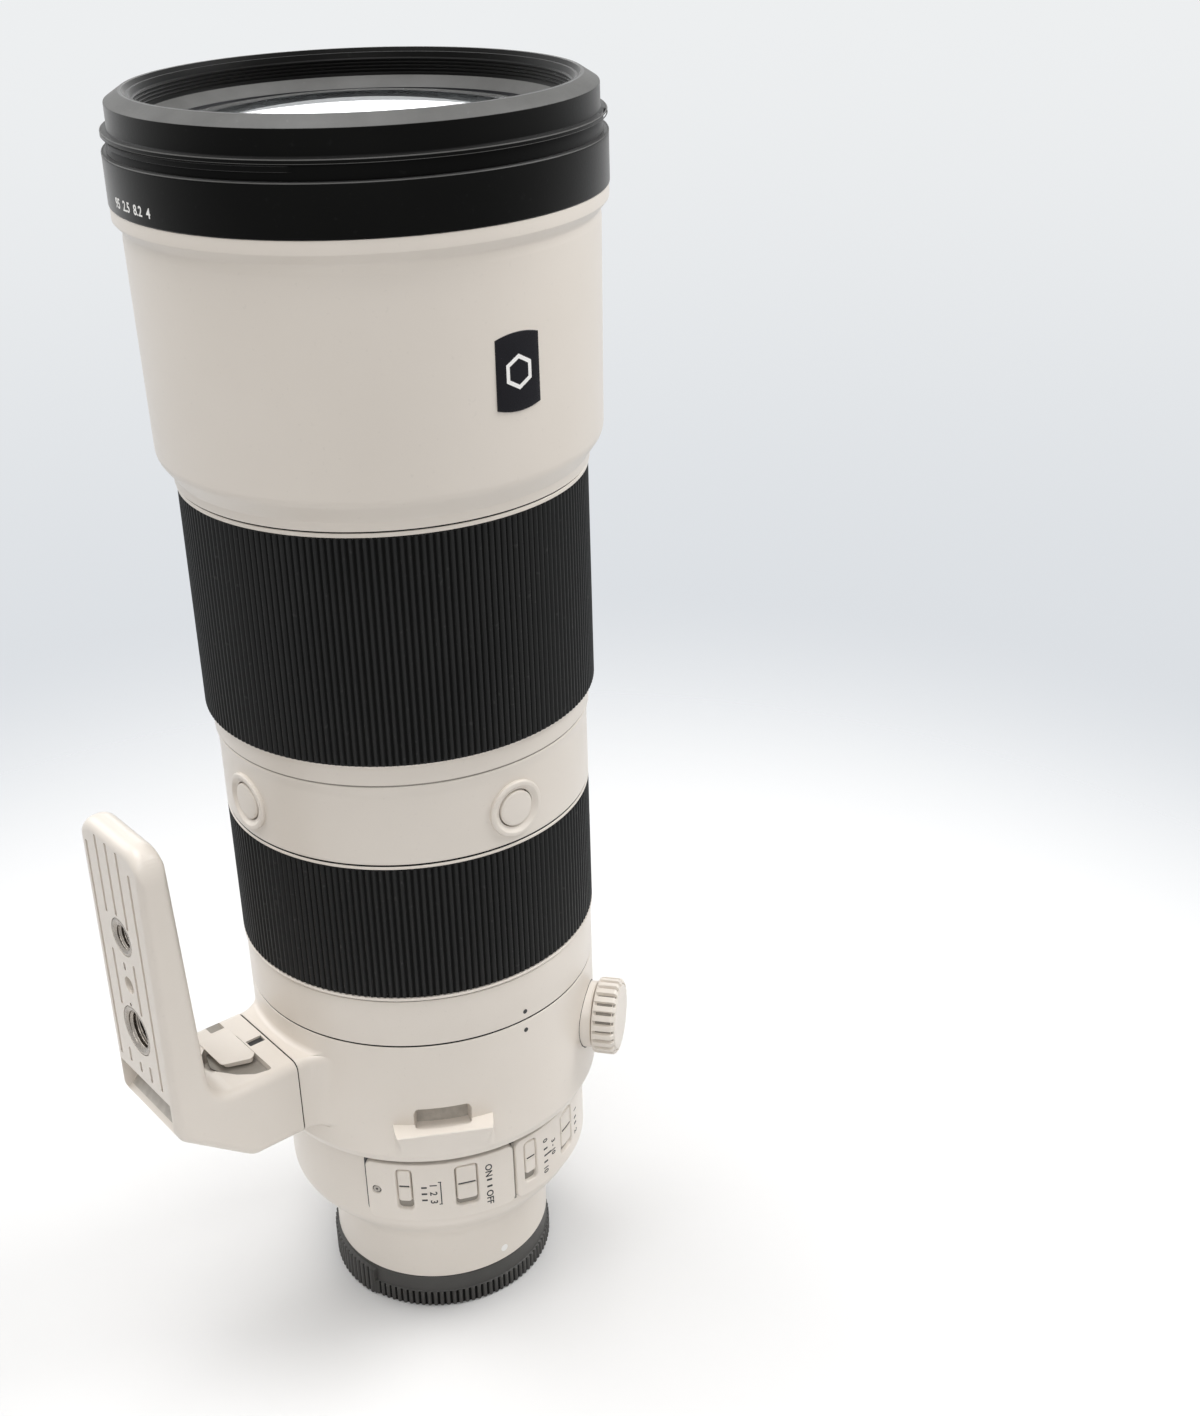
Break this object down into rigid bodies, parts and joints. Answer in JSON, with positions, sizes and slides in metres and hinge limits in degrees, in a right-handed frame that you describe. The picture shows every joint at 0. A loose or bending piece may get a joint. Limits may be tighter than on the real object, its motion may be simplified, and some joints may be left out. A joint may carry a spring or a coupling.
{
  "type": "camera zoom lens",
  "caption": "Long white telephoto zoom lens standing on its rear cap, with ribbed zoom and focus rings, a turning tripod collar with a removable foot, slide switches and hold buttons.",
  "frame": {"origin": "centre of the rear cap's base, on the optical axis", "axes": "+Z along the optical axis towards the front glass, -X towards the tripod foot, -Y towards the switch side"},
  "size_m": [0.1399, 0.1116, 0.3286],
  "materials": {
    "white_paint": "satin off-white enamel",
    "white_plastic": "satin off-white",
    "black_paint": "fine matte black",
    "black_plastic": "moulded black",
    "black_metal": "black anodised",
    "rubber": "ribbed matte rubber",
    "glass": "coated optical glass",
    "steel": "plain steel",
    "chrome": "bright",
    "gold": "gold plated",
    "copper": "enamelled copper wire",
    "board": "green laminate"
  },
  "bodies": {
    "lens_barrel": {"rear_barrel": "white_paint", "bayonet_mount": "chrome", "mount_screws": "steel", "contact_block": "black_plastic", "contact_pins": "gold", "main_board": "board", "switch_modules": "black_plastic", "left_switch_panel": "white_paint", "right_switch_panel": "white_paint", "panel_screws": "steel", "main_tube": "black_metal", "index_ring": "white_paint", "mid_band": "white_paint", "button_bezels": "white_paint", "front_barrel": "white_paint", "flange_screws": "steel", "badge_plate": "black_plastic", "front_band": "black_paint", "hood_ring": "black_paint", "front_cell": "black_metal", "front_retainer": "black_metal", "front_element": "glass", "second_element": "glass", "iris_housing": "black_plastic", "iris_blades": "black_metal", "stabiliser_base": "black_plastic", "guide_rods": "steel", "focus_magnets": "steel", "rear_cell": "black_plastic", "rear_lens": "glass"},
    "rear_cap": {"rear_cap": "black_plastic"},
    "zoom_ring": {"zoom_sleeve": "white_paint", "zoom_grip": "rubber", "cam_tube": "black_metal"},
    "zoom_group": {"zoom_carriage": "black_plastic", "zoom_pins": "steel", "zoom_lens": "glass"},
    "focus_ring": {"focus_sleeve": "white_paint", "focus_grip": "rubber"},
    "focus_group": {"focus_carriage": "black_plastic", "focus_coils": "copper", "focus_lens": "glass"},
    "stabiliser_yaw": {"stabiliser_frame": "black_metal"},
    "stabiliser_pitch": {"stabiliser_holder": "black_plastic", "stabiliser_lens": "glass"},
    "left_hold_button": {"left_hold_button": "white_plastic"},
    "lower_hold_button": {"lower_hold_button": "white_plastic"},
    "right_hold_button": {"right_hold_button": "white_plastic"},
    "mode_switch": {"mode_switch": "white_plastic"},
    "stabiliser_switch": {"stabiliser_switch": "white_plastic"},
    "range_switch": {"range_switch": "white_plastic"},
    "focus_mode_switch": {"focus_mode_switch": "white_plastic"},
    "tripod_collar": {"collar_ring": "white_paint", "clamp_shoe": "black_metal"},
    "lock_knob": {"lock_knob": "white_paint", "knob_cap": "white_plastic"},
    "tripod_foot": {"tripod_foot": "white_paint", "thread_inserts": "chrome"},
    "foot_latch": {"latch_lever": "white_paint", "latch_pin": "steel"}
  },
  "joints": [
    {"name": "zoom_turn", "type": "hinge", "parent": "lens_barrel", "child": "zoom_ring", "pos_m": [0, 0, 0.21], "axis": [0, 0, 1], "range_deg": [0, 70]},
    {"name": "zoom_slide", "type": "slide", "parent": "lens_barrel", "child": "zoom_group", "axis": [0, 0, 1], "range_m": [0, 0.034]},
    {"name": "focus_turn", "type": "hinge", "parent": "lens_barrel", "child": "focus_ring", "pos_m": [0, 0, 0.135], "axis": [0, 0, 1], "continuous": true},
    {"name": "focus_slide", "type": "slide", "parent": "lens_barrel", "child": "focus_group", "axis": [0, 0, 1], "range_m": [-0.02, 0.02]},
    {"name": "stabiliser_yaw_slide", "type": "slide", "parent": "lens_barrel", "child": "stabiliser_yaw", "axis": [1, 0, 0], "range_m": [-0.001, 0.001]},
    {"name": "stabiliser_pitch_slide", "type": "slide", "parent": "stabiliser_yaw", "child": "stabiliser_pitch", "axis": [0, 1, 0], "range_m": [-0.001, 0.001]},
    {"name": "left_button_press", "type": "slide", "parent": "lens_barrel", "child": "left_hold_button", "axis": [0, 1, 0], "range_m": [0, 0.0007], "stiffness_N_per_m": 600},
    {"name": "lower_button_press", "type": "slide", "parent": "lens_barrel", "child": "lower_hold_button", "axis": [1, 0, 0], "range_m": [0, 0.0007], "stiffness_N_per_m": 600},
    {"name": "right_button_press", "type": "slide", "parent": "lens_barrel", "child": "right_hold_button", "axis": [0, -1, 0], "range_m": [0, 0.0007], "stiffness_N_per_m": 600},
    {"name": "mode_switch_slide", "type": "slide", "parent": "lens_barrel", "child": "mode_switch", "axis": [0, 0, -1], "range_m": [0, 0.0024]},
    {"name": "stabiliser_switch_slide", "type": "slide", "parent": "lens_barrel", "child": "stabiliser_switch", "axis": [0, 0, -1], "range_m": [0, 0.0017]},
    {"name": "range_switch_slide", "type": "slide", "parent": "lens_barrel", "child": "range_switch", "axis": [0, 0, -1], "range_m": [0, 0.0024]},
    {"name": "focus_mode_switch_slide", "type": "slide", "parent": "lens_barrel", "child": "focus_mode_switch", "axis": [0, 0, -1], "range_m": [0, 0.0017]},
    {"name": "collar_turn", "type": "hinge", "parent": "lens_barrel", "child": "tripod_collar", "pos_m": [0, 0, 0.082], "axis": [0, 0, 1], "continuous": true},
    {"name": "lock_knob_turn", "type": "hinge", "parent": "tripod_collar", "child": "lock_knob", "pos_m": [0, 0, 0.0843], "axis": [0.6239, -0.7815, 0], "range_deg": [0, 360]},
    {"name": "foot_slide", "type": "slide", "parent": "tripod_collar", "child": "tripod_foot", "axis": [0, 0, 1], "range_m": [0, 0.024]},
    {"name": "foot_latch_turn", "type": "hinge", "parent": "tripod_foot", "child": "foot_latch", "pos_m": [-0.0599, 0.0055, 0.0949], "axis": [0, 0, 1], "range_deg": [-30, 0]},
    {"name": "rear_cap_turn", "type": "hinge", "parent": "lens_barrel", "child": "rear_cap", "pos_m": [0, 0, 0.005], "axis": [0, 0, 1], "range_deg": [0, 60]}
  ],
  "couplings": [
    {"joint": "zoom_slide", "follows": "zoom_turn", "m_per_rad": 0.02782}
  ]
}
